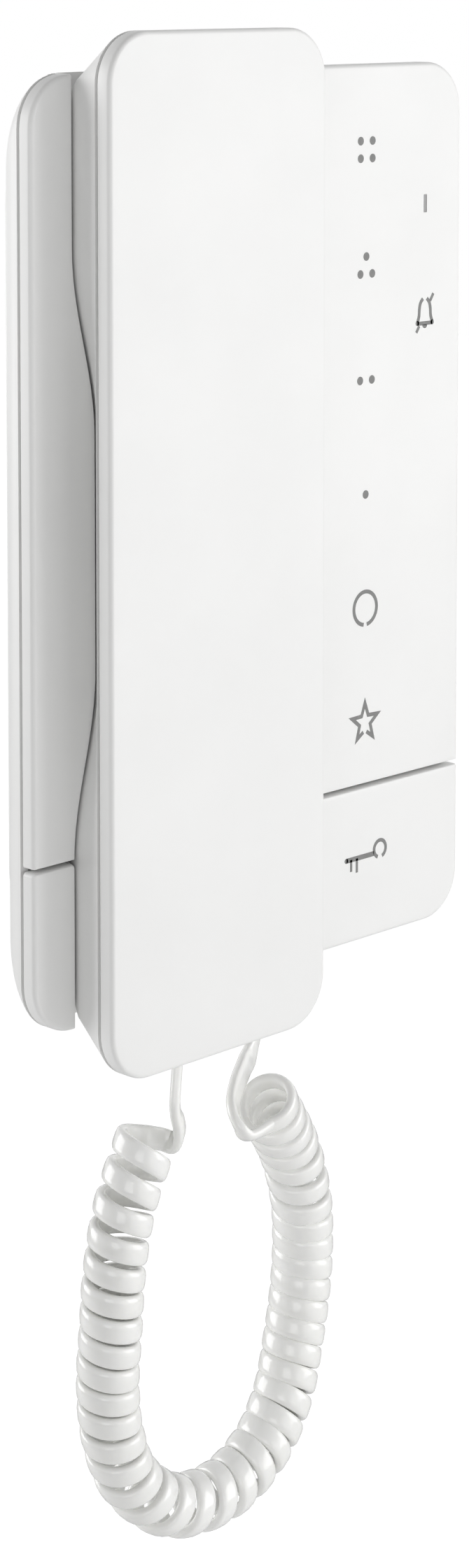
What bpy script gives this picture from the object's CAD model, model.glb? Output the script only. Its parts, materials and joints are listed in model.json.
"""Slimline wall phone: the finish of every surface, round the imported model.

Shapes are worked out in millimetres, in the model's frame: X to the right, Y into the wall, Z up.
"""
import json
from math import pi, radians

import bmesh
import bpy
import numpy as np
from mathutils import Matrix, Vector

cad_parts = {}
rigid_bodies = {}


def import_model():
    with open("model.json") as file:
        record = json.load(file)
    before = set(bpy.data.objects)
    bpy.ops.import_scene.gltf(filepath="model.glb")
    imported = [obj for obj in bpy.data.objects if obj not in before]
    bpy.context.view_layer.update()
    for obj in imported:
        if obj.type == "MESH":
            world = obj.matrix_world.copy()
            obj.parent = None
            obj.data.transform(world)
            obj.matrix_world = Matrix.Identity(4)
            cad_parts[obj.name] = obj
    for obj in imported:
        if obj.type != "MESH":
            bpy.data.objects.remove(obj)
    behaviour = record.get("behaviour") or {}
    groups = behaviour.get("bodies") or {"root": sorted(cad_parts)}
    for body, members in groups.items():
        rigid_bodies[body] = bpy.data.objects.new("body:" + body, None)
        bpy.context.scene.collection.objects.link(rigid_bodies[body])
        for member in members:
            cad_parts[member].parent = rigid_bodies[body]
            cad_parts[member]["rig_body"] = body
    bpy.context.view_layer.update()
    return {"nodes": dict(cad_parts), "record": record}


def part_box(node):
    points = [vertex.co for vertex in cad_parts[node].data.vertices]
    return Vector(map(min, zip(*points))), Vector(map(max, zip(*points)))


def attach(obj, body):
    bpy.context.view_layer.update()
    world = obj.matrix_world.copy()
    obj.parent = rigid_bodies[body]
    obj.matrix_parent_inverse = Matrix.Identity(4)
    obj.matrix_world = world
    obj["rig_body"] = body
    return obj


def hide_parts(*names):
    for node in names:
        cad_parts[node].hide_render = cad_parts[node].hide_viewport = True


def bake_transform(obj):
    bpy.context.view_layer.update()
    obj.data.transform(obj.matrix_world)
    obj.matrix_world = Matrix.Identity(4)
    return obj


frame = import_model()
MM = 0.001


def node_box(node):
    """Lowest and highest corner of a CAD node, in millimetres."""
    low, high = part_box(node)
    return np.array(low) / MM, np.array(high) / MM


# ---- Sizes of the mouldings, in millimetres ----
EDGE = 1.0  # radius of the outer edges
WALL = 2.0

COVER_SIDE = 3.15  # depth of the cover's and the key's outer wall
COVER_CORNER = 10.3
KEY_SEAM = 0.85  # gap between cover and key
SEAM_EDGE = 0.3  # radius of the edges along it
STATUS_IN = 11.7  # status light and muted bell, in from the right side

ROLL = 8.2  # radius on which the housing's side rolls in
PLINTH_IN = 9.0  # how far the plinth stands in at top and foot
PLINTH_SIDE = 15.5  # and at the sides
PLINTH_CORNER = 17.3
PLINTH_EDGE = 0.3
BACK_WALL = 3.5

HAND_SIDE = 3.5  # depth of the front shell's side wall
HAND_CORNER = 10.2
HEEL = 1.0  # corner radius of the rear shell, from the base's face backwards
BACK_EDGE = 2.0  # depth over which the rear shell's back edge turns in
SIDE_TAPER = 3.06  # how far the rear shell comes in down to the base's face
TOP_TAPER = 9.6
FOOT_TAPER = 10.3
SCOOP = 5.8  # depth of a finger scoop
SCOOP_FLAT = 23.0  # half the height at full depth
SCOOP_END = 60.5  # half the whole height

TROUGH_PLAY = 0.5
TROUGH_FLOOR = -17.2
TROUGH_WALL = 1.8
TROUGH_EDGE = 0.35
TROUGH_ROUND = 1.0  # radius between wall and floor
TROUGH_CORNER = 0.3
KEY_CORNER = 0.9

PEG_Z = 30.0
PEG_HALF = (5.0, 2.0)
PEG_PLAY = 0.3

# Shares of the side taper, the end tapers and the scoop, from the rear shell's front edge to its back
AT_SHELL = (0, 0, 0)
AT_FACE = (1, 1, 1)
AT_HEEL = (1.6, 1.6, 1.15)
AT_BACK = (2.4, 2.05, 1.2)
FLOOR_SIDE = 1.96  # the trough's, at its floor
FLOOR_SCOOP = 1.2

# ---- Places taken from the frame, in millimetres ----
cover_low, cover_high = node_box("front_cover")
hand_low, hand_high = node_box("handset_front")
shell_low, shell_high = node_box("handset_rear")

base_half = cover_high[0]
status_x = base_half - STATUS_IN
y_face = cover_low[1]
y_roll = node_box("rear_housing")[0][1]
z_top = cover_high[2]
z_foot = node_box("door_key")[0][2]
z_seam = cover_low[2]
hand_x = (hand_low[0] + hand_high[0]) / 2
hand_half = (hand_high[0] - hand_low[0]) / 2
hand_top = hand_high[2]
y_hand = hand_low[1]
y_shell = shell_low[1]
y_back = shell_high[1]
y_heel = y_back - BACK_EDGE


# ---- Meshes ----


def quads(rows, columns, wrap=False):
    """Faces of a grid of rows x columns points; wrap joins its last column to its first."""
    across = columns if wrap else columns - 1
    i, j = np.meshgrid(np.arange(rows - 1), np.arange(across), indexing="ij")
    a = i * columns + j
    b = i * columns + (j + 1) % columns
    return np.stack([a, b, b + columns, a + columns], -1).reshape(-1, 4).tolist()


def sheet_part(points):
    """An open sheet: a grid of points, rows x columns x 3."""
    rows, columns = points.shape[:2]
    return points.reshape(-1, 3), quads(rows, columns)


def strips(count, start=0):
    """Faces across a ring that goes up one side and down the other, with as many points on each."""
    i = start + np.arange(count // 2 - 1)
    far = 2 * start + count - 1 - i
    return np.stack([i, i + 1, far - 1, far], -1).tolist()


def tube_part(rings, caps=True):
    """A closed skin through rings of points, with a flat face on its first and last ring."""
    rows, columns = rings.shape[:2]
    faces = quads(rows, columns, wrap=True)
    if caps:
        faces += [list(range(columns)), list(range((rows - 1) * columns, rows * columns))]
    return rings.reshape(-1, 3), faces


def strip_capped(rings):
    """The same skin, with its two ends closed by strips from side to side."""
    points, faces = tube_part(rings, caps=False)
    count = rings.shape[1]
    return points, faces + strips(count) + strips(count, len(points) - count)


def make_mesh(name, parts, weld=0.002):
    """One mesh out of parts in millimetres, welded where they meet, with its faces outwards."""
    points, faces, count = [], [], 0
    for part_points, part_faces in parts:
        points.append(part_points)
        faces += [[count + v for v in face] for face in part_faces]
        count += len(part_points)
    mesh = bpy.data.meshes.new(name)
    mesh.from_pydata((np.concatenate(points) * MM).tolist(), [], faces)
    work = bmesh.new()
    work.from_mesh(mesh)
    bmesh.ops.remove_doubles(work, verts=work.verts, dist=weld * MM)
    bmesh.ops.recalc_face_normals(work, faces=work.faces)
    work.to_mesh(mesh)
    work.free()
    return mesh


def shade(mesh, sharp=32):
    """Smooth shading, with a hard edge wherever two faces turn by more than sharp degrees."""
    mesh.shade_smooth()
    mesh.set_sharp_from_angle(angle=radians(sharp))


def link(name, mesh):
    """A new object at the origin that shows mesh."""
    piece = bpy.data.objects.new(name, mesh)
    bpy.context.scene.collection.objects.link(piece)
    return piece


def worked(piece, *modifiers):
    """Puts modifiers, each (kind, settings), on a piece and keeps the mesh that they give."""
    for kind, settings in modifiers:
        modifier = piece.modifiers.new(kind.lower(), kind)
        for key, value in settings.items():
            setattr(modifier, key, value)
    seen = piece.evaluated_get(bpy.context.evaluated_depsgraph_get())
    mesh = bpy.data.meshes.new_from_object(seen)
    piece.modifiers.clear()
    piece.data = mesh


def cut(piece, parts):
    """Takes the closed parts away from a piece."""
    cutter = link("cutter", make_mesh("cutter", parts))
    worked(piece, ("BOOLEAN", {"object": cutter, "operation": "DIFFERENCE", "solver": "EXACT",
                               "use_self": True}))
    bpy.data.objects.remove(cutter)


def thicken(piece):
    """Gives an open skin the thickness of the trough's wall, inwards."""
    worked(piece, ("SOLIDIFY", {"thickness": TROUGH_WALL * MM, "offset": -1.0,
                                "use_even_offset": False}))


def dress(piece, body, material, replaces=(), sharp=32):
    """Gives a piece its material, slot and body, and hides the CAD nodes that it stands for."""
    shade(piece.data, sharp)
    piece.data.materials.clear()
    piece.data.materials.append(material)
    if body:
        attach(piece, body)
    if replaces:
        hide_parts(*replaces)


# ---- Shapes that the mouldings share ----


def polar(x, z, radius, angle):
    """Points (x, z) round a middle, at angles in radians."""
    return np.stack([x + radius * np.cos(angle), z + radius * np.sin(angle)], -1)


def corner(x, z, radius, start, steps):
    """Quarter circle round (x, z), anticlockwise from the start angle, seen from the front."""
    return polar(x, z, radius, start + np.linspace(0, pi / 2, steps + 1))


def at_depth(outline, y):
    """A flat outline (x, z) as a ring of points at depth y."""
    return np.stack([outline[:, 0], np.full(len(outline), y), outline[:, 1]], -1)


def rectangle(x0, x1, z0, z1, radius, steps=14):
    """Outline of a rectangle with four quarter circles for its corners."""
    return np.concatenate([
        corner(x1 - radius, z0 + radius, radius, -pi / 2, steps),
        corner(x1 - radius, z1 - radius, radius, 0, steps),
        corner(x0 + radius, z1 - radius, radius, pi / 2, steps),
        corner(x0 + radius, z0 + radius, radius, pi, steps)])


def box_part(low, high, radius=0.0, axis=1):
    """A block between two corners, with its edges along one axis rounded."""
    a, b = {0: (1, 2), 1: (0, 2), 2: (0, 1)}[axis]
    flat = rectangle(low[a], high[a], low[b], high[b], max(radius, 0.01), 4 if radius else 1)
    rings = np.zeros((2, len(flat), 3))
    rings[:, :, a] = flat[:, 0]
    rings[:, :, b] = flat[:, 1]
    rings[0, :, axis] = low[axis]
    rings[1, :, axis] = high[axis]
    return tube_part(rings)


def block_part(x, z, half, depths, radius=0.0):
    """A block round (x, z) with two half sizes, between two depths."""
    return box_part([x - half[0], depths[0], z - half[1]], [x + half[0], depths[1], z + half[1]], radius)


def rod_part(x, z, y0, y1, radius, sides=48):
    """A cylinder along Y."""
    circle = polar(x, z, radius, np.linspace(0, 2 * pi, sides, endpoint=False))
    return tube_part(np.stack([at_depth(circle, y0), at_depth(circle, y1)]))


def quarter(steps):
    """Pairs (1 - sin a, 1 - cos a) for a from 0 to 90 degrees: the way round a rounded edge."""
    a = np.linspace(0, pi / 2, steps + 1)
    return list(zip(1 - np.sin(a), 1 - np.cos(a)))


def scoop(z):
    """Share of the finger scoop's depth at height z: full in the middle, then a half cosine wave."""
    run = np.clip((np.abs(z) - SCOOP_FLAT) / (SCOOP_END - SCOOP_FLAT), 0, 1)
    return (1 + np.cos(pi * run)) / 2


# ---- Handset ----


def handset_outline(side, end, scooped, radius, grow=0.0, steps=14, heights=120):
    """Outline of the handset's rear shell: its sides come in by side tapers, its ends by end tapers and
    its middle by the scoop, then the whole outline moves out by grow."""
    half = hand_half - side * SIDE_TAPER + grow
    z1 = hand_top - end * TOP_TAPER + grow
    z0 = -hand_top + end * FOOT_TAPER - grow
    r = max(radius + grow, 0.4)
    z = np.linspace(z0 + r, z1 - r, heights + 2)[1:-1]
    x = half - scooped * SCOOP * scoop(z)
    right = np.concatenate([corner(half - r, z0 + r, r, -pi / 2, steps), np.stack([x, z], -1),
                            corner(half - r, z1 - r, r, 0, steps)])
    outline = np.concatenate([right, (right * [-1, 1])[::-1]])
    return outline + [hand_x, 0]


def rear_levels():
    """Depths of the rear shell, with the side, end and scoop shares and the corner radius at each:
    straight tapers from the front shell to the base's face and on to the back, where the edge turns in
    on a quarter ellipse."""
    y = np.concatenate([np.linspace(y_shell, y_face, 10), np.linspace(y_face, y_heel, 6)[1:]])
    shares = [np.interp(y, [y_shell, y_face, y_heel], share)
              for share in zip(AT_SHELL, AT_FACE, AT_HEEL)]
    radius = np.interp(y, [y_shell, y_face], [HAND_CORNER, HEEL])
    levels = list(zip(y, *shares, radius))
    for a in np.linspace(0, pi / 2, 10)[1:]:
        shares = [heel + (back - heel) * (1 - np.cos(a)) for heel, back in zip(AT_HEEL, AT_BACK)]
        levels.append((y_heel + BACK_EDGE * np.sin(a), *shares, HEEL))
    return levels


def handset_front(white):
    """Front shell: a flat face, an edge rounded on a quarter circle, a straight side wall, and the
    inside of the wall; then a lip, set in by the wall, that enters the rear shell."""
    def ring(y, inset):
        return at_depth(rectangle(hand_low[0] + inset, hand_high[0] - inset, -hand_top + inset,
                                  hand_top - inset, HAND_CORNER - inset), y)
    rim = 0.25
    lip_play, lip_wall = 0.6, 1.3
    rings = [ring(y_hand, EDGE + 1)]
    rings += [ring(y_hand + EDGE * down, EDGE * inward) for inward, down in quarter(8)]
    y_end = y_hand + HAND_SIDE
    rings += [ring(y_end - rim * inward, rim * down) for inward, down in quarter(3)]
    rings += [ring(y_end, WALL), ring(y_hand + WALL, WALL)]
    outer = WALL + lip_play
    lip = lip_part(ring, outer, outer + lip_wall, y_hand + WALL, y_shell + lip_play)
    piece = link("handset_front_shell", make_mesh("handset_front_shell", [tube_part(np.stack(rings)), lip]))
    dress(piece, "handset", white, ["handset_front"])


def lip_part(ring, outer, inner, y0, y1):
    """A closed wall between two insets of a ring, from y0 to y1."""
    loop = np.stack([ring(y0, outer), ring(y1, outer), ring(y1, inner), ring(y0, inner), ring(y0, outer)])
    return tube_part(loop, caps=False)


def sound_hole_parts(z, rings, pitch, radius=0.9):
    """Rods for a middle hole and rings of six, twelve and more holes round it."""
    places = [(hand_x, z)]
    for k in range(1, rings + 1):
        places += list(polar(hand_x, z, k * pitch, np.arange(6 * k) * pi / (3 * k)))
    return [rod_part(*place, y_back - 4, y_back + 1, radius, 20) for place in places]


def handset_rear(white):
    """Rear shell: outlines at every level, an inside set in by the wall, and the holes of its back."""
    outside = [at_depth(handset_outline(*shares), y) for y, *shares in rear_levels()]
    y_in = y_back - WALL
    inside = [at_depth(handset_outline(*shares, radius, -WALL), y) for y, shares, radius in
              ((y_in, AT_HEEL, HEEL), (y_face, AT_FACE, HEEL), (y_shell, AT_SHELL, HAND_CORNER))]
    back = at_depth(handset_outline(*AT_BACK, HEEL, -1.0), y_back)
    rings = np.stack([back] + outside[::-1] + inside[::-1])
    piece = link("handset_rear_shell", make_mesh("handset_rear_shell", [strip_capped(rings)]))
    foot = -hand_top
    ear_z, mouth_z = hand_top - 38.5, foot + 39.5
    screws_z, screw_r = (43, -47), 2.9
    peg_hole = [half + PEG_PLAY for half in PEG_HALF]
    plug_half, plug_long = 4.25, 22
    cut(piece, [
        *sound_hole_parts(ear_z, 3, 3.2), *sound_hole_parts(mouth_z, 1, 2.6),
        *(rod_part(hand_x, z, y_back - 1.8, y_back + 1, screw_r) for z in screws_z),
        block_part(hand_x, PEG_Z, peg_hole, (y_in - 1, y_back + 1), 0.6),
        box_part([hand_x - plug_half, y_back - 10.7, foot],
                 [hand_x + plug_half, y_back - 3.3, foot + plug_long], 0.8, 2)])
    dress(piece, "handset", white, ["handset_rear"])


# ---- Base ----


def trough_half(y, z, grow=0.0):
    """Half width of the trough at depth y and height z: the rear shell's outline and the play."""
    depths = [y_face, y_heel, TROUGH_FLOOR]
    side = np.interp(y, depths, [AT_FACE[0], AT_HEEL[0], FLOOR_SIDE])
    scooped = np.interp(y, depths, [AT_FACE[2], AT_HEEL[2], FLOOR_SCOOP])
    return hand_half - side * SIDE_TAPER + TROUGH_PLAY + grow - scooped * SCOOP * scoop(z)


TROUGH_HEIGHTS = 120  # points along a cheek's straight side
CORNER_STEPS = 12
OUTER_COLUMNS = TROUGH_HEIGHTS + 2 * (CORNER_STEPS + 1)


def cheek(hand, y, z0, z1, insets, foot_r, top_r, trough_r):
    """Ring of the face beside the trough, to its left (hand -1) or right (hand 1): the outer side with
    its two corners, then the trough's edge with two small ones, the upper of radius trough_r. The
    insets are those of the outer side, the foot, the top and the trough's edge. No outer corner runs
    past the start of the small one beside it."""
    outer, foot, top, inner = insets
    low, high = z0 + foot, z1 - top
    x = base_half - outer
    small_low = max(TROUGH_CORNER - max(inner, foot), 0.1)
    small_high = max(trough_r - max(inner, top), 0.1)
    z = np.linspace(high - small_high, low + small_low, TROUGH_HEIGHTS + 2)
    edge = hand * hand_x + trough_half(y, z) + inner
    r_low = min(max(foot_r - max(outer, foot), 0.2), x - edge[-1] - small_low)
    r_high = min(max(top_r - max(outer, top), 0.2), x - edge[0] - small_high)
    side = np.linspace(low + r_low, high - r_high, TROUGH_HEIGHTS + 2)[1:-1]
    outline = np.concatenate([
        corner(x - r_low, low + r_low, r_low, -pi / 2, CORNER_STEPS),
        np.stack([np.full(TROUGH_HEIGHTS, x), side], -1),
        corner(x - r_high, high - r_high, r_high, 0, CORNER_STEPS),
        corner(edge[0] + small_high, high - small_high, small_high, pi / 2, CORNER_STEPS),
        np.stack([edge, z], -1)[1:-1],
        corner(edge[-1] + small_low, low + small_low, small_low, pi, CORNER_STEPS)])
    ring = at_depth(outline, y)
    ring[:, 0] *= hand
    return ring


def face_shell(z0, z1, foot_r, top_r, foot_edge, top_edge, trough_r):
    """The cover's or the key's skin: two faces with rounded edges, their outer walls, and the trough
    between them, whose walls follow the handset and meet its floor on a quarter circle."""
    parts, walls = [], []
    edges = np.array([EDGE, foot_edge, top_edge, TROUGH_EDGE])
    deep = y_face + EDGE
    for hand in (-1, 1):
        def ring(y, share, extra=0.0):
            return cheek(hand, y, z0, z1, edges * share + extra, foot_r, top_r, trough_r)
        rings = np.stack([ring(y_face, 1, 0.8)] + [ring(y_face + EDGE * down, inward)
                                                  for inward, down in quarter(8)])
        face, faces = tube_part(rings, caps=False)
        parts.append((face, faces + strips(rings.shape[1])))
        last = rings[-1]
        outer = np.concatenate([last[-1:], last[:OUTER_COLUMNS + 1]])
        parts.append(sheet_part(np.stack([outer, outer + [0, COVER_SIDE - EDGE, 0]])))
        # the trough's wall: the same columns carried down, moved in with the trough's width
        inner = last[OUTER_COLUMNS:]
        z = inner[:, 2]
        depths = np.concatenate([np.linspace(deep, y_heel, 4), [TROUGH_FLOOR - TROUGH_ROUND]])
        rows = []
        for y in depths:
            shift = trough_half(y, z) - trough_half(deep, z)
            row = inner.copy()
            row[:, 0] += hand * shift
            row[:, 1] = y
            rows.append(row)
        toe = rows[-1]
        for a in np.linspace(0, pi / 2, 7)[1:]:
            row = toe.copy()
            row[:, 0] -= hand * TROUGH_ROUND * (1 - np.cos(a))
            row[:, 1] = TROUGH_FLOOR - TROUGH_ROUND + TROUGH_ROUND * np.sin(a)
            rows.append(row)
        walls.append(np.stack(rows))
        parts.append(sheet_part(walls[-1]))
    left, right = walls[0][-1], walls[1][-1]
    trough_floor = np.stack([left + (right - left) * share for share in np.linspace(0, 1, 9)])
    return parts + [sheet_part(trough_floor)]


def front_cover(white):
    """Front cover: the upper face shell, with the window of the status light and the hole of the hook
    plunger."""
    parts = face_shell(z_seam, z_top, 0.5, COVER_CORNER, SEAM_EDGE, EDGE, TROUGH_CORNER)
    piece = link("front_cover_shell", make_mesh("front_cover_shell", parts))
    thicken(piece)
    window_z, window_half = z_top - 30.35, (0.55, 1.95)
    low, high = node_box("hook_plunger")
    (hole_x, _, hole_z), hole_r = (low + high) / 2, 3.05
    cut(piece, [block_part(status_x, window_z, window_half, (y_face - 1, y_face + 3), 0.2),
                rod_part(hole_x, hole_z, TROUGH_FLOOR - 1, TROUGH_FLOOR + 4, hole_r)])
    dress(piece, "base", white, ["front_cover"])


def hanging_peg(white):
    """Peg that carries the handset: a block with rounded edges that stands on the trough's floor."""
    depths = (TROUGH_FLOOR - 5, TROUGH_FLOOR + 0.5)
    block = block_part(hand_x, PEG_Z, PEG_HALF, depths, 0.8)
    peg = link("hanging_peg", make_mesh("hanging_peg", [block]))
    worked(peg, ("BEVEL", {"width": 0.35 * MM, "segments": 3, "limit_method": "ANGLE"}))
    dress(peg, "base", white)


def door_key(white):
    """Door key: the lower face shell and the foot of the trough."""
    parts = face_shell(z_foot, z_seam - KEY_SEAM, COVER_CORNER, 0.8, EDGE, SEAM_EDGE, KEY_CORNER)
    piece = link("door_key_shell", make_mesh("door_key_shell", parts))
    thicken(piece)
    dress(piece, "door_key", white, ["door_key"])


def rear_housing(white):
    """Rear housing: its side rolls in on a quarter circle, meets the plinth and runs to the wall; the
    inside follows at the wall's thickness. Pockets, slots and holes are cut from its back and ends."""
    def ring(y, side_in, end_in, radius):
        return at_depth(rectangle(-base_half + side_in, base_half - side_in, z_foot + end_in,
                                  z_top - end_in, radius), y)

    def roll(a, thick):
        radius = ROLL - thick
        inset = ROLL - radius * np.cos(a)
        widened = (PLINTH_CORNER - COVER_CORNER) * min(a / radians(45), 1)
        return ring(y_roll + radius * np.sin(a), inset, inset, COVER_CORNER + widened - thick)

    def plinth(y, inset):
        return ring(y, PLINTH_SIDE + inset, PLINTH_IN + inset, PLINTH_CORNER - inset)
    rings = [ring(y_roll, WALL, WALL, COVER_CORNER - WALL)]
    rings += [roll(a, 0) for a in np.linspace(0, radians(82), 16)]
    rings += [plinth(y_roll + ROLL, 0)]
    rings += [plinth(PLINTH_EDGE * (np.sin(a) - 1), PLINTH_EDGE * (1 - np.cos(a)))
              for a in np.linspace(0, pi / 2, 4)]
    back = plinth(0, 2)
    inside = [plinth(-BACK_WALL, WALL), plinth(y_roll + ROLL - WALL, WALL)]
    inside += [roll(a, WALL) for a in np.linspace(radians(75), 0, 6)]
    whole = [list(range(len(back)))]
    piece = link("rear_housing_shell", make_mesh("rear_housing_shell", [
        tube_part(np.stack(rings + [back]), caps=False), (back, whole),
        tube_part(np.stack(inside), caps=False), (inside[0], whole)]))
    cut(piece, housing_cutters())
    dress(piece, "base", white, ["rear_housing"])


def housing_cutters():
    """What the rear housing is open for: the bracket's pocket and its slots, the screws, the cable, the
    trough's two ends, the cord's socket and the sound slots."""
    through = (-BACK_WALL - 1, 1)
    pocket_half, cable_half = (40.4, 32.4), (17, 17)
    parts = [block_part(0, 0, pocket_half, (-1.5, 1)), block_part(0, 0, cable_half, through)]
    # the bracket's hooks, the heads of the wall screws, the cover's screws
    for x in (-33, 33):
        for z in (-22, 22):
            parts.append(box_part([x - 4.3, through[0], z - 5.5], [x + 4.3, through[1], z + 3.3]))
    head_r, cover_screw_r = 5, 2.9
    parts += [rod_part(x, 0, *through, head_r) for x in (-30, 30)]
    screw_x = base_half - 22.5
    for x, z in ((-screw_x, z_top - 24), (-screw_x, z_seam + 12),
                 (screw_x, z_top - 22), (screw_x, z_seam + 10)):
        parts.append(rod_part(x, z, *through, cover_screw_r))
    # the trough's two ends, wider than its walls
    for z0, z1 in ((z_top - 14, z_top + 5), (z_foot - 5, z_foot + 14)):
        z = np.linspace(z0, z1, 3)
        rings = []
        for y in (y_face, y_heel, TROUGH_FLOOR, TROUGH_FLOOR + TROUGH_WALL + 0.6):
            half = trough_half(y, z, TROUGH_WALL + 0.9)
            right = np.stack([hand_x + half, z], -1)
            left = np.stack([hand_x - half, z], -1)[::-1]
            rings.append(at_depth(np.concatenate([right, left]), y))
        parts.append(tube_part(np.stack(rings)))
    socket_low, socket_high = node_box("base_jack")
    parts.append(box_part([socket_low[0] - 0.2, y_roll - 1, z_foot - 1],
                          [socket_high[0] + 0.2, -7.1, z_foot + 13]))
    # five sound slots through the plinth's right side
    side_x = base_half - PLINTH_SIDE
    slot_half, slot_step = 0.8, 5
    for z in 48 + slot_step * np.arange(-2, 3):
        parts.append(box_part([side_x - 4, -8.5, z - slot_half], [side_x + 2, -4.5, z + slot_half],
                              0.7, 0))
    return parts


# ---- Curly cord ----

CORD_W = 4.6  # width and thickness of its flat section
CORD_T = 2.2
COIL_R = (5.3, 5.6)  # radius of the coil's centreline, at its two ends
TURNS = 37.75
CLOSE_TURNS = 3.6  # turns over the last step of the axis
COIL_START = radians(45)
LEAD_TURN = radians(90)  # how far each lead's section turns on from the coil's
STEPS_PER_TURN = 32
LEAD_STEPS = 12  # steps between two knots of a lead
# The route's knots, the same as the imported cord's: from the handset's plug to the base's
LEFT_LEAD = [(-24.4, -25.2, -84), (-24.4, -25.2, -90), (-24.4, -25.2, -97), (-24.2, -25.3, -106),
             (-25.7, -26, -115.7), (-24.9, -26.3, -119.6), (-23.8, -25.3, -122.8), (-23.6, -23.3, -124.8),
             (-24.7, -21.3, -124.4)]
COIL_AXIS = [(-31.9, -24, -121.7), (-37.5, -23.5, -134.5), (-39.9, -23, -147.3), (-40.5, -22.5, -159.1),
             (-40.4, -21.5, -170.7), (-38.7, -21, -182.2), (-33.2, -20.5, -193.9), (-21, -20, -203.7),
             (-5.7, -19.5, -205.7), (6.6, -19, -200.5), (13.9, -18.5, -191.5), (18.1, -17.5, -181.3),
             (20.8, -17, -171), (21.7, -17, -160.3), (19.4, -18.5, -149), (11.5, -22.5, -135.2),
             (-4, -30.5, -119.2)]
RIGHT_LEAD = [(-11.8, -33.5, -123.8), (-13.6, -32.5, -121.8), (-13.3, -30.5, -119.6), (-10.9, -28, -118),
              (-7.2, -25.5, -116.2), (-1.5, -22, -114.5), (4.3, -18.5, -112.7), (11.8, -15.6, -101),
              (13.3, -14.2, -94), (13.5, -14, -88)]


def unit(v):
    """The same directions, each of length 1."""
    return v / np.linalg.norm(v, axis=-1, keepdims=True)


def spline(knots, u):
    """Point on the smooth curve through the knots: a cubic between each two, whose slope at a knot is
    half the way from the knot before it to the one after."""
    knots = np.asarray(knots, float)
    ends = np.concatenate([[2 * knots[0] - knots[1]], knots, [2 * knots[-1] - knots[-2]]])
    i = np.clip(np.floor(u).astype(int), 0, len(knots) - 2)
    t = (u - i)[:, None]
    a, b, c, d = (ends[i + k] for k in range(4))
    return (2 * b + (c - a) * t + (2 * a - 5 * b + 4 * c - d) * t**2 + (3 * b - a - 3 * c + d) * t**3) / 2


def coil_place(turn):
    """Place along the coil's axis after that many turns, closer wound over the long last step."""
    last = len(COIL_AXIS) - 1
    return np.interp(turn, [0, TURNS - CLOSE_TURNS, TURNS], [0, last - 1, last])


def coil_out(turn, on=0.0):
    """Way out from the coil's axis after that many turns of a left-handed helix, and then turned on."""
    u = coil_place(turn)
    along = unit(spline(COIL_AXIS, u + 0.01) - spline(COIL_AXIS, u - 0.01))
    side = unit(np.array([0.0, 1.0, 0.0]) - along * along[:, 1:2])
    angle = (COIL_START + 2 * pi * turn + on)[:, None]
    return np.cos(angle) * np.cross(along, side) + np.sin(angle) * side


def cord_route():
    """Centreline of the cord and the way out of its round side: the left lead, the coil, the right lead.
    The coil widens evenly along its way, and each lead's section turns over its first three knots."""
    turn = np.linspace(0, TURNS, round(TURNS * STEPS_PER_TURN) + 1)
    out = coil_out(turn)
    coil = spline(COIL_AXIS, coil_place(turn))
    coil = coil + np.linspace(*COIL_R, len(turn))[:, None] * out
    eighth = STEPS_PER_TURN // 8
    lead_a = LEFT_LEAD + [coil[0], coil[eighth]]
    lead_b = [coil[-1 - eighth], coil[-1]] + RIGHT_LEAD
    left = spline(lead_a, np.arange(LEAD_STEPS * len(LEFT_LEAD)) / LEAD_STEPS)
    right = spline(lead_b, 1 + np.arange(1, LEAD_STEPS * len(RIGHT_LEAD) + 1) / LEAD_STEPS)
    route = np.concatenate([left, coil, right])
    before = np.minimum(np.arange(len(left), 0, -1) / (3 * LEAD_STEPS), 1)
    past = np.minimum(np.arange(1, len(right) + 1) / (3 * LEAD_STEPS), 1)
    outs = np.concatenate([coil_out(np.zeros(len(left)), -LEAD_TURN * before), out,
                           coil_out(np.full(len(right), TURNS), LEAD_TURN * past)])
    return route, outs


def cord_section(count=18):
    """Section of the cord: a low arch on its round side, and a flatter one on its inner side. Powers
    below 1 of sine and cosine square an ellipse up."""
    width_power, round_power, inner_power = 0.6, 0.75, 0.45
    angle = np.linspace(0, 2 * pi, count, endpoint=False)
    cosine, sine = np.cos(angle), np.sin(angle)
    across = np.sign(cosine) * np.abs(cosine) ** width_power * CORD_W / 2
    up = np.sign(sine) * np.abs(sine) ** np.where(sine > 0, round_power, inner_power) * CORD_T / 2
    return across, up


def curly_cord(sheath):
    """The cord: its section carried along the route, square to it, with the round side outwards."""
    route, outs = cord_route()
    along = unit(np.gradient(route, axis=0))
    out = unit(outs - along * (outs * along).sum(-1, keepdims=True))
    side = np.cross(along, out)
    across, up = cord_section()
    rings = route[:, None] + side[:, None] * across[None, :, None] + out[:, None] * up[None, :, None]
    cord = link("curly_cord_sheath", make_mesh("curly_cord_sheath", [tube_part(rings)]))
    dress(cord, None, sheath, ["curly_cord"], sharp=60)
    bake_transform(cord)


# ---- Printed signs ----

SIGN_X = base_half - 30.5
FIRST_SIGN = 18.0  # from the top down to the first sign
SIGN_STEP = 24.5
BELL_DOWN = 54.1
DOT_R = 0.92
DOT_STEP = 3.7
LINE = 0.85
PRINT_PROUD = 0.03
PRINT_SUNK = 0.02
PRINT_WELD = 0.0005


def stroke(points, width):
    """A flat band along a line: each point moves half the width to either side, square to the line, and
    at a bend to where the two sides' edges meet."""
    p = np.asarray(points, float)
    step = unit(np.diff(p, axis=0))
    ahead, behind = np.concatenate([step, step[-1:]]), np.concatenate([step[:1], step])
    normal = unit(np.stack([-(ahead + behind)[:, 1], (ahead + behind)[:, 0]], -1))
    square = np.stack([-ahead[:, 1], ahead[:, 0]], -1)
    reach = width / 2 / np.clip((normal * square).sum(-1, keepdims=True), 0.3, 1)
    return p + normal * reach, p - normal * reach


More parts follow.
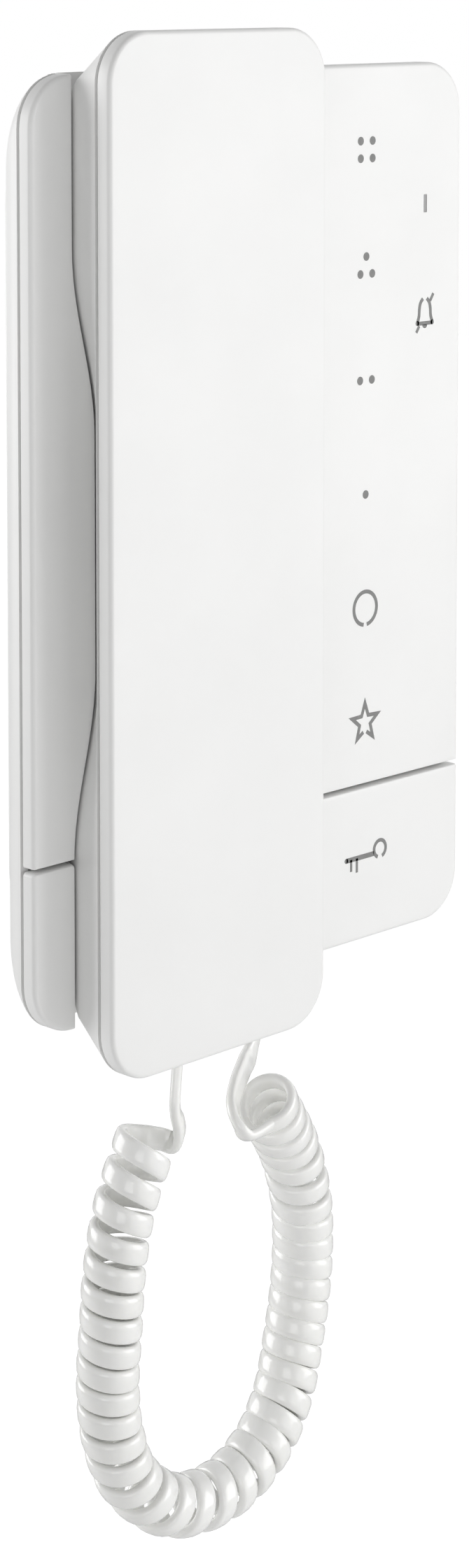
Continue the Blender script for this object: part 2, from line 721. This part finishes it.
def print_part(inner, outer, y):
    """A print just proud of the face, between two lines of points, as a closed thin solid."""
    lift, sink = y - PRINT_PROUD, y + PRINT_SUNK
    loop = np.stack([at_depth(inner, lift), at_depth(outer, lift), at_depth(outer, sink),
                     at_depth(inner, sink), at_depth(inner, lift)])
    points, faces = sheet_part(loop)
    n = loop.shape[1]
    faces += [[k * n for k in range(4)], [k * n + n - 1 for k in range(4)]]
    return points, faces


def disc_part(x, z, radius, y):
    """A printed disc."""
    return rod_part(x, z, y - PRINT_PROUD, y + PRINT_SUNK, radius, 40)


def arc(x, z, radius, start, end, count=48):
    """Points round (x, z) from one angle to another, in degrees."""
    return polar(x, z, radius, np.radians(np.linspace(start, end, count)))


def call_dots(z, places):
    """Call buttons' dots round (SIGN_X, z), at places in steps."""
    return [disc_part(SIGN_X + DOT_STEP * a, z + DOT_STEP * b, DOT_R, y_face) for a, b in places]


def ring_sign(x, z):
    """An open ring with its gap at the bottom."""
    radius = 4.0 - LINE / 2
    gap = np.degrees(0.5 / radius)
    line = arc(x, z, radius, -90 + gap, 270 - gap)
    return [print_part(*stroke(line, LINE), y_face)]


def star_sign(x, z, outer=5.0):
    """A five-pointed star in outline, open between its feet."""
    tip = outer - LINE * 0.95
    corners = np.arange(10)
    radius = np.where(corners % 2 == 0, tip, tip * 0.42)
    p = polar(x, z - 0.25, radius, np.radians(90 + 36 * corners))
    low, short = p[5], 0.5

    def towards(foot):
        """Point on the way from a foot to the low corner, short of it across."""
        run = abs(low[0] - foot[0])
        return foot + (low - foot) * ((run - short) / run)
    line = np.concatenate([[towards(p[6])], p[6:], p[:5], [towards(p[4])]])
    return [print_part(*stroke(line, LINE), y_face)]


def key_sign(x, z):
    """A key: an open ring for its bow, a straight shaft and two bits."""
    bow_x = x + 4.35
    bow = arc(bow_x, z + 0.75, 1.85, -68, 248)
    shaft = np.array([[x - 6.3, z], [bow_x - 1.9, z]])
    bits = [np.array([[x - 4.8, z], [x - 4.8, z - 2.6]]), np.array([[x - 3.0, z], [x - 3.0, z - 3.1]])]
    parts = [print_part(*stroke(bow, 0.8), y_face), print_part(*stroke(shaft, 1.1), y_face)]
    parts += [print_part(*stroke(bit, 0.68), y_face) for bit in bits]
    parts.append(disc_part(x - 6.3, z, 0.55, y_face))
    return parts


def bell_sign(x, z):
    """A bell in outline, open at its crown, with a clapper and a slash that is broken across it."""
    parts = []
    t = np.linspace(0, 1, 16)
    for s in (-1, 1):
        flank = spline([(x + s * 2.35, z - 1.85), (x + s * 1.9, z - 0.6), (x + s * 1.75, z + 1.1),
                        (x + s * 1.4, z + 2.3), (x + s * 0.62, z + 3.15)], t * 4)
        parts.append(print_part(*stroke(flank, 0.85), y_face))
        parts.append(disc_part(x + s * 2.4, z - 2.1, 0.55, y_face))
    rim = np.array([[x - 2.45, z - 2.2], [x + 2.45, z - 2.2]])
    parts.append(print_part(*stroke(rim, 0.85), y_face))
    parts.append(print_part(*stroke(arc(x, z - 2.5, 0.4, 180, 360, 16), 0.8), y_face))
    for a, b in ((0.62, 1.0), (-1.0, -0.66)):
        slash = np.array([[x + 2.75 * a, z + 4.1 * a], [x + 2.75 * b, z + 4.1 * b]])
        parts.append(print_part(*stroke(slash, 0.75), y_face))
    return parts


def signs(ink):
    """Printed signs: one column and a bell beside it on the cover, the key sign on the door key."""
    half = 0.5
    rows = z_top - FIRST_SIGN - SIGN_STEP * np.arange(6)
    prints = [
        ("call_four", call_dots(rows[0], [(-half, -half), (half, -half), (-half, half), (half, half)])),
        ("call_three", call_dots(rows[1], [(-half, -half), (half, -half), (0, half)])),
        ("call_two", call_dots(rows[2], [(-half, 0), (half, 0)])),
        ("call_one", call_dots(rows[3], [(0, 0)])),
        ("answer_ring", ring_sign(SIGN_X, rows[4])),
        ("favourite_star", star_sign(SIGN_X, rows[5])),
        ("muted_bell", bell_sign(status_x, z_top - BELL_DOWN)),
        ("key", key_sign(SIGN_X + 0.6, z_foot + 18.2)),
    ]
    for name, parts in prints:
        body = "door_key" if name == "key" else "base"
        dress(link("print_" + name, make_mesh(name, parts, PRINT_WELD)), body, ink)


# ---- Materials ----


def linear(hex_colour):
    """Linear colour of an sRGB hex value, with full alpha."""
    value = np.array([int(hex_colour[i:i + 2], 16) for i in (1, 3, 5)]) / 255
    value = np.where(value <= 0.04045, value / 12.92, ((value + 0.055) / 1.055) ** 2.4)
    return (*value.tolist(), 1.0)


def add(tree, kind, settings=(), **links):
    """Adds a node with its settings, a name or a socket's name each, and links its sockets."""
    node = tree.nodes.new(kind)
    for key, value in dict(settings).items():
        if key in node.inputs:
            node.inputs[key].default_value = value
        else:
            setattr(node, key, value)
    for key, source in links.items():
        tree.links.new(source, node.inputs[key.replace("_", " ")])
    return node


def blank(name):
    """A new material with its node tree and a principled shader."""
    material = bpy.data.materials.new(name)
    material.use_nodes = True
    tree = material.node_tree
    return material, tree, tree.nodes["Principled BSDF"]


def place(tree):
    """Object coordinates, in metres."""
    return tree.nodes.new("ShaderNodeTexCoord").outputs["Object"]


def mottle(tree, scale, low, high, detail=3.0):
    """Colour that drifts between two hex values on a noise of that scale per metre."""
    noise = add(tree, "ShaderNodeTexNoise", {"Scale": scale, "Detail": detail}, Vector=place(tree))
    ramp = add(tree, "ShaderNodeValToRGB", Fac=noise.outputs["Fac"])
    ramp.color_ramp.elements[0].color = linear(low)
    ramp.color_ramp.elements[0].position = 0.35
    ramp.color_ramp.elements[1].color = linear(high)
    ramp.color_ramp.elements[1].position = 0.65
    return ramp.outputs["Color"]


def grain(tree, shader, grain_mm, height_mm, strength, detail=2.0):
    """Fine bump of that grain size and height, in millimetres."""
    noise = add(tree, "ShaderNodeTexNoise", {"Scale": 1 / (grain_mm * MM), "Detail": detail},
                Vector=place(tree))
    bump = add(tree, "ShaderNodeBump", {"Strength": strength, "Distance": height_mm * MM},
               Height=noise.outputs["Fac"])
    tree.links.new(bump.outputs["Normal"], shader.inputs["Normal"])


def vary_roughness(tree, shader, scale, low, high):
    """Roughness that drifts between two values, as handling and the mould leave it."""
    noise = add(tree, "ShaderNodeTexNoise", {"Scale": scale, "Detail": 2.0}, Vector=place(tree))
    span = add(tree, "ShaderNodeMapRange", {"To Min": low, "To Max": high}, Value=noise.outputs["Fac"])
    tree.links.new(span.outputs["Result"], shader.inputs["Roughness"])


def satin_abs():
    """White ABS from a finely spark-eroded mould: an even satin, no grain to be seen from a step away."""
    material, tree, shader = blank("satin_white_abs")
    shader.inputs["IOR"].default_value = 1.53
    tree.links.new(mottle(tree, 25, "#F3F3F2", "#F6F6F5"), shader.inputs["Base Color"])
    vary_roughness(tree, shader, 60, 0.36, 0.42)
    # spark erosion of 0.1 mm, drawn at 0.25 mm so that it shows close up
    grain(tree, shader, 0.25, 0.01, 0.15)
    return material


def cord_pvc():
    """Plasticised PVC sheath: extruded, so smooth and glossy, a little warmer than the mouldings."""
    material, tree, shader = blank("glossy_white_pvc")
    shader.inputs["IOR"].default_value = 1.53
    shader.inputs["Coat Weight"].default_value = 0.5
    shader.inputs["Coat Roughness"].default_value = 0.12
    shader.inputs["Subsurface Weight"].default_value = 0.08
    shader.inputs["Subsurface Radius"].default_value = (0.6 * MM, 0.6 * MM, 0.5 * MM)
    tree.links.new(mottle(tree, 40, "#F9F9F6", "#FBFBF9"), shader.inputs["Base Color"])
    vary_roughness(tree, shader, 90, 0.16, 0.24)
    grain(tree, shader, 1.2, 0.02, 0.12)
    return material


def sign_ink():
    """Pad-printed grey ink: matt, a hair uneven."""
    material, tree, shader = blank("grey_pad_print")
    tree.links.new(mottle(tree, 900, "#7C7C7B", "#838382"), shader.inputs["Base Color"])
    vary_roughness(tree, shader, 300, 0.5, 0.62)
    return material


def zinc_steel():
    """Galvanised sheet steel: dull grey with pale crystals about 6 mm across."""
    material, tree, shader = blank("galvanised_steel")
    shader.inputs["Metallic"].default_value = 1.0
    cells = add(tree, "ShaderNodeTexVoronoi", {"Scale": 1 / (6 * MM)}, Vector=place(tree))
    ramp = add(tree, "ShaderNodeValToRGB", Fac=cells.outputs["Color"])
    ramp.color_ramp.elements[0].color = linear("#A9ACAE")
    ramp.color_ramp.elements[1].color = linear("#C9CCCE")
    tree.links.new(ramp.outputs["Color"], shader.inputs["Base Color"])
    vary_roughness(tree, shader, 120, 0.34, 0.5)
    grain(tree, shader, 0.4, 0.01, 0.2)
    return material


def screw_zinc():
    """Zinc-plated screws: bright, faintly blue, with a fine grain."""
    material, tree, shader = blank("zinc_plated_screw")
    shader.inputs["Metallic"].default_value = 1.0
    tree.links.new(mottle(tree, 400, "#B9BDC2", "#D2D5D9"), shader.inputs["Base Color"])
    vary_roughness(tree, shader, 500, 0.22, 0.34)
    grain(tree, shader, 0.3, 0.01, 0.15)
    return material


def board_green():
    """Glass-epoxy board under solder mask: green, a woven ground that shows faintly, semi-gloss."""
    material, tree, shader = blank("green_solder_mask")
    weave = add(tree, "ShaderNodeTexChecker", {"Scale": 1 / (0.8 * MM), "Color1": linear("#1E5B3A"),
                                              "Color2": linear("#236642")}, Vector=place(tree))
    tree.links.new(weave.outputs["Color"], shader.inputs["Base Color"])
    vary_roughness(tree, shader, 200, 0.28, 0.36)
    grain(tree, shader, 0.8, 0.02, 0.2)
    return material


def moulded(name, low, high, rough, grain_mm=0.4):
    """A small injection moulding: a colour that hardly drifts, and a fine grain."""
    material, tree, shader = blank(name)
    tree.links.new(mottle(tree, 150, low, high), shader.inputs["Base Color"])
    vary_roughness(tree, shader, 200, rough - 0.04, rough + 0.05)
    grain(tree, shader, grain_mm, 0.01, 0.15)
    return material


def clear_guide():
    """Light guide, unlit: the grey of a smoked face, and opaque."""
    material = moulded("smoked_polycarbonate", "#7B7B7B", "#828282", 0.25)
    material.node_tree.nodes["Principled BSDF"].inputs["IOR"].default_value = 1.58
    return material


def foam():
    """Black cellular rubber: matt, with open pores about 0.5 mm across."""
    material, tree, shader = blank("black_foam_rubber")
    tree.links.new(mottle(tree, 800, "#1C1C1D", "#2A2A2B"), shader.inputs["Base Color"])
    vary_roughness(tree, shader, 400, 0.8, 0.92)
    grain(tree, shader, 0.5, 0.1, 0.6)
    return material


def plain_metal(name, low, high, rough):
    """Bare drawn metal: grey, with a soft uneven sheen."""
    material, tree, shader = blank(name)
    shader.inputs["Metallic"].default_value = 1.0
    tree.links.new(mottle(tree, 250, low, high), shader.inputs["Base Color"])
    vary_roughness(tree, shader, 250, rough - 0.06, rough + 0.08)
    grain(tree, shader, 0.5, 0.01, 0.2)
    return material


def softened(node, width, material):
    """A CAD node with its edges rounded: its mesh is copied, merged, and beveled at every sharp edge."""
    source = frame["nodes"][node]
    mesh = source.data.copy()
    work = bmesh.new()
    work.from_mesh(mesh)
    bmesh.ops.remove_doubles(work, verts=work.verts, dist=0.001 * MM)
    bmesh.ops.dissolve_limit(work, angle_limit=radians(1), verts=work.verts, edges=work.edges)
    work.to_mesh(mesh)
    work.free()
    piece = link(node + "_softened", mesh)
    worked(piece, ("BEVEL", {"width": width * MM, "segments": 2, "limit_method": "ANGLE",
                             "angle_limit": radians(40)}))
    dress(piece, source["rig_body"], material, [node])


def finish_nodes():
    """Gives each CAD node that stays its material, and rounds the edges of those that show."""
    finishes = {
        "steel": zinc_steel(), "screw_steel": screw_zinc(), "board_laminate": board_green(),
        "touch_film": moulded("amber_touch_film", "#B98A3C", "#C4964A", 0.3),
        "clear_plastic": clear_guide(),
        "dark_plastic": moulded("black_abs", "#232324", "#2B2B2C", 0.45),
        "terminal_plastic": moulded("green_polyamide", "#3E7A52", "#47855B", 0.4),
        "plunger_plastic": moulded("white_acetal", "#E9E9E6", "#EEEEEC", 0.3),
        "socket_plastic": moulded("white_polyamide", "#E6E6E2", "#EDEDEA", 0.35),
        "capsule_metal": plain_metal("drawn_aluminium", "#A6A8AA", "#B9BBBD", 0.35),
        "foam_rubber": foam(),
        "weight_steel": plain_metal("bare_steel", "#77797B", "#8D8F91", 0.45)}
    for part in frame["record"]["subparts"]:
        if part["material_slot"] in finishes:
            mesh = frame["nodes"][part["node"]].data
            mesh.materials.clear()
            mesh.materials.append(finishes[part["material_slot"]])
    softened("wall_bracket", 0.25, finishes["steel"])
    softened("hook_plunger", 0.3, finishes["plunger_plastic"])


# ---- Camera, floor and light ----


def camera():
    """Camera to the phone's left and a little above it, shifted so that the phone stands high in the
    picture."""
    down, across = radians(4.8), radians(45.48)
    data = bpy.data.cameras.new("camera")
    data.lens = 75.3
    data.sensor_width = 36
    data.shift_y = -0.35
    data.clip_start = 0.01
    seen_from = bpy.data.objects.new("camera", data)
    seen_from.location = np.array([-479.9, -489.6, 116.0]) * MM
    seen_from.rotation_euler = (pi / 2 - down, 0, -across)
    bpy.context.scene.collection.objects.link(seen_from)
    bpy.context.scene.camera = seen_from


def floor():
    """Plain pale floor, well below the cord. To the camera it is mostly a white glow, so that it shows
    white; to all other rays it is paint."""
    half, z = 4000.0, -560.0
    glow_level, glow_share = 1.15, 0.85
    mesh = make_mesh("floor", [sheet_part(np.array([[[-half, -half, z], [half, -half, z]],
                                                     [[-half, half, z], [half, half, z]]]))])
    plane = link("floor", mesh)
    material, tree, shader = blank("pale_floor")
    tree.links.new(mottle(tree, 3, "#F4F4F4", "#F6F6F6"), shader.inputs["Base Color"])
    shader.inputs["Roughness"].default_value = 0.9
    glow = add(tree, "ShaderNodeEmission", {"Color": (1, 1, 1, 1), "Strength": glow_level})
    path = tree.nodes.new("ShaderNodeLightPath")
    seen = add(tree, "ShaderNodeMath", {"operation": "MULTIPLY"})
    tree.links.new(path.outputs["Is Camera Ray"], seen.inputs[0])
    seen.inputs[1].default_value = glow_share
    mix = add(tree, "ShaderNodeMixShader", Fac=seen.outputs[0])
    tree.links.new(shader.outputs[0], mix.inputs[1])
    tree.links.new(glow.outputs[0], mix.inputs[2])
    tree.links.new(mix.outputs[0], tree.nodes["Material Output"].inputs["Surface"])
    mesh.materials.append(material)


def lamp(name, place_mm, target_mm, size_mm, power):
    """A square soft light at a place, aimed at a point, with its power in watts."""
    data = bpy.data.lights.new(name, "AREA")
    data.shape = "SQUARE"
    data.size = size_mm * MM
    data.energy = power
    light = bpy.data.objects.new(name, data)
    here, there = np.array(place_mm, float), np.array(target_mm, float)
    light.location = here * MM
    direction = Vector(((there - here) * MM).tolist())
    light.rotation_euler = direction.to_track_quat("-Z", "Y").to_euler()
    bpy.context.scene.collection.objects.link(light)


def studio():
    """White surroundings, at full strength to the camera, in gloss and through clear parts and at a low
    one as light on the phone, and four broad lamps: at the front right, the front left, straight ahead
    and behind on the left."""
    ambient = 0.27
    world = bpy.data.worlds.new("studio")
    bpy.context.scene.world = world
    world.use_nodes = True
    tree = world.node_tree
    path = tree.nodes.new("ShaderNodeLightPath")
    seen = add(tree, "ShaderNodeMath", {"operation": "MAXIMUM"})
    tree.links.new(path.outputs["Is Camera Ray"], seen.inputs[0])
    tree.links.new(path.outputs["Is Glossy Ray"], seen.inputs[1])
    clear = add(tree, "ShaderNodeMath", {"operation": "MAXIMUM"})
    tree.links.new(seen.outputs[0], clear.inputs[0])
    tree.links.new(path.outputs["Is Transmission Ray"], clear.inputs[1])
    level = add(tree, "ShaderNodeMapRange", {"To Min": ambient, "To Max": 1.0}, Value=clear.outputs[0])
    tree.links.new(level.outputs["Result"], tree.nodes["Background"].inputs["Strength"])
    tree.nodes["Background"].inputs["Color"].default_value = (1, 1, 1, 1)
    lamp("key", (1100, -1300, 200), (0, -20, -70), 1300, 14.4)
    lamp("front", (-1050, -850, 50), (0, -20, -60), 700, 2.7)
    lamp("ahead", (100, -1500, -100), (0, -20, -80), 1000, 2.5)
    lamp("fill", (-800, 1150, 150), (0, -20, -40), 1000, 10.5)


camera()
sheath_pvc = cord_pvc()
white_abs = satin_abs()

curly_cord(sheath_pvc)
handset_front(white_abs)
handset_rear(white_abs)
front_cover(white_abs)
hanging_peg(white_abs)
door_key(white_abs)
rear_housing(white_abs)
finish_nodes()
signs(sign_ink())
floor()
studio()
bpy.context.scene.view_settings.view_transform = "Standard"
